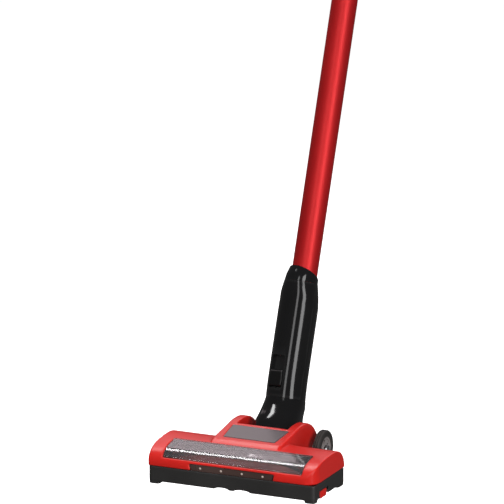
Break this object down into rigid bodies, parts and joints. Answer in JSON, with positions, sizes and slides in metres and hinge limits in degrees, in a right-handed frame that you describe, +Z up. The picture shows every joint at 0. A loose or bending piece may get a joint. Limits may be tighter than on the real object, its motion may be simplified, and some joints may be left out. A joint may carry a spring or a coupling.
{
  "type": "cordless upright vacuum cleaner",
  "caption": "Cordless upright stick vacuum: powered floor head with lit brush window, reclining swivel neck, tube wand, and hand unit with clear dust bin and slide-on battery.",
  "frame": {"origin": "middle of the hand grip, where the machine is held", "axes": "+X to the floor head's right-hand end as seen from in front, +Y to the rear, +Z up from the floor; the neck and wand lean back 21 degrees in the rest pose"},
  "size_m": [0.24, 0.594, 1.0186],
  "materials": {
    "red_plastic": "satin red moulding",
    "dark_plastic": "fine matt texture",
    "gloss_black": "polished",
    "clear_smoke": "clear smoked plastic",
    "grey_cover": "translucent grey moulding",
    "wand_red": "satin red tube",
    "rubber": "matt",
    "grey_plastic": "satin grey moulding",
    "steel": "plain steel",
    "bristle": "dense nylon bristle",
    "board": "green circuit board",
    "filter": "white foam"
  },
  "bodies": {
    "hand_unit": {"inlet_socket": "gloss_black", "body_left": "red_plastic", "body_right": "red_plastic", "mesh_screen": "steel", "motor_housing": "red_plastic", "motor_filter": "filter", "suction_motor": "steel", "control_board": "board", "grip_pad": "rubber"},
    "exhaust_cap": {"exhaust_cap": "gloss_black"},
    "fan": {"fan_impeller": "dark_plastic"},
    "dust_bin": {"dust_bin": "clear_smoke", "flap_pin": "steel"},
    "bin_flap": {"bin_flap": "gloss_black"},
    "flap_latch": {"flap_latch": "red_plastic"},
    "power_trigger": {"power_trigger": "gloss_black"},
    "mode_button": {"mode_button": "grey_plastic"},
    "wand_button": {"wand_button": "red_plastic"},
    "battery": {"battery_case": "dark_plastic", "battery_lid": "dark_plastic", "battery_cells": "steel"},
    "battery_button": {"battery_button": "red_plastic"},
    "wand": {"wand_tube": "wand_red", "wand_wire_duct": "dark_plastic"},
    "neck": {"neck_front_shell": "gloss_black", "neck_rear_shell": "gloss_black", "neck_collar": "gloss_black"},
    "neck_button": {"neck_button": "gloss_black"},
    "elbow": {"neck_elbow": "gloss_black", "swivel_seal": "rubber"},
    "head": {"base_housing": "dark_plastic", "top_shell": "red_plastic", "brush_window": "clear_smoke", "duct_cover": "grey_cover", "light_strip": "grey_cover", "led_board": "board", "chamber_liner": "dark_plastic", "air_duct": "dark_plastic", "wiper_lip": "rubber", "drive_belt": "rubber", "left_bearing": "steel", "right_bearing": "steel", "brush_end_cap": "dark_plastic", "brush_motor": "steel", "pivot_axle_left": "steel", "pivot_axle_right": "steel"},
    "brush": {"brush_core": "dark_plastic", "bristle_row_1": "bristle", "bristle_row_2": "bristle", "brush_pulley": "dark_plastic"},
    "motor_pulley": {"motor_pulley": "steel"},
    "brush_latch": {"brush_latch": "red_plastic"},
    "wheel_left": {"tyre_left": "rubber", "wheel_hub_left": "grey_plastic"},
    "wheel_right": {"tyre_right": "rubber", "wheel_hub_right": "grey_plastic"},
    "roller_left": {"front_roller_left": "grey_plastic"},
    "roller_right": {"front_roller_right": "grey_plastic"}
  },
  "joints": [
    {"name": "wand_pull", "type": "slide", "parent": "hand_unit", "child": "wand", "axis": [0, -0.3584, -0.9336], "range_m": [0, 0.06]},
    {"name": "neck_pull", "type": "slide", "parent": "wand", "child": "neck", "axis": [0, -0.3584, -0.9336], "range_m": [0, 0.145]},
    {"name": "neck_swivel", "type": "hinge", "parent": "neck", "child": "elbow", "pos_m": [0, -0.38732, -0.8025], "axis": [0, 0.3584, 0.9336], "range_deg": [-50, 50]},
    {"name": "head_recline", "type": "hinge", "parent": "elbow", "child": "head", "pos_m": [0, -0.40882, -0.85852], "axis": [1, 0, 0], "range_deg": [-21, 59]},
    {"name": "brush_spin", "type": "hinge", "parent": "head", "child": "brush", "pos_m": [0, -0.53082, -0.86101], "axis": [1, 0, 0], "continuous": true},
    {"name": "motor_spin", "type": "hinge", "parent": "head", "child": "motor_pulley", "pos_m": [0, -0.48682, -0.85452], "axis": [1, 0, 0], "continuous": true},
    {"name": "wheel_left_spin", "type": "hinge", "parent": "head", "child": "wheel_left", "pos_m": [-0.063, -0.40882, -0.85852], "axis": [1, 0, 0], "continuous": true},
    {"name": "wheel_right_spin", "type": "hinge", "parent": "head", "child": "wheel_right", "pos_m": [0.063, -0.40882, -0.85852], "axis": [1, 0, 0], "continuous": true},
    {"name": "roller_left_spin", "type": "hinge", "parent": "head", "child": "roller_left", "pos_m": [-0.07, -0.48682, -0.87772], "axis": [1, 0, 0], "continuous": true},
    {"name": "roller_right_spin", "type": "hinge", "parent": "head", "child": "roller_right", "pos_m": [0.07, -0.48682, -0.87772], "axis": [1, 0, 0], "continuous": true},
    {"name": "brush_latch_slide", "type": "slide", "parent": "head", "child": "brush_latch", "axis": [0, 1, 0], "range_m": [0, 0.006]},
    {"name": "neck_button_press", "type": "slide", "parent": "neck", "child": "neck_button", "axis": [0.342, 0.8773, -0.3368], "range_m": [0, 0.003], "stiffness_N_per_m": 250},
    {"name": "wand_button_press", "type": "slide", "parent": "hand_unit", "child": "wand_button", "axis": [0, 0.9336, -0.3584], "range_m": [0, 0.002], "stiffness_N_per_m": 250},
    {"name": "trigger_pull", "type": "slide", "parent": "hand_unit", "child": "power_trigger", "axis": [0, 0.9336, -0.3584], "range_m": [0, 0.005], "stiffness_N_per_m": 300},
    {"name": "mode_button_press", "type": "slide", "parent": "hand_unit", "child": "mode_button", "axis": [0, -0.3584, -0.9336], "range_m": [0, 0.0015], "stiffness_N_per_m": 400},
    {"name": "cap_lift", "type": "slide", "parent": "hand_unit", "child": "exhaust_cap", "axis": [0, 0.3584, 0.9336], "range_m": [0, 0.04]},
    {"name": "bin_pull", "type": "slide", "parent": "hand_unit", "child": "dust_bin", "axis": [0, -0.3584, -0.9336], "range_m": [0, 0.125]},
    {"name": "flap_swing", "type": "hinge", "parent": "dust_bin", "child": "bin_flap", "pos_m": [0, -0.22563, -0.05649], "axis": [-1, 0, 0], "range_deg": [0, 80]},
    {"name": "flap_latch_slide", "type": "slide", "parent": "dust_bin", "child": "flap_latch", "axis": [0, 0.3584, 0.9336], "range_m": [0, 0.008], "stiffness_N_per_m": 150},
    {"name": "battery_pull", "type": "slide", "parent": "hand_unit", "child": "battery", "axis": [0, -0.3584, -0.9336], "range_m": [0, 0.06]},
    {"name": "battery_button_press", "type": "slide", "parent": "battery", "child": "battery_button", "axis": [0, -0.9336, 0.3584], "range_m": [0, 0.0015], "stiffness_N_per_m": 250},
    {"name": "fan_spin", "type": "hinge", "parent": "hand_unit", "child": "fan", "pos_m": [0, -0.13193, 0.05814], "axis": [0, 0.3584, 0.9336], "continuous": true}
  ],
  "couplings": [
    {"joint": "motor_spin", "follows": "brush_spin", "ratio": 2}
  ]
}
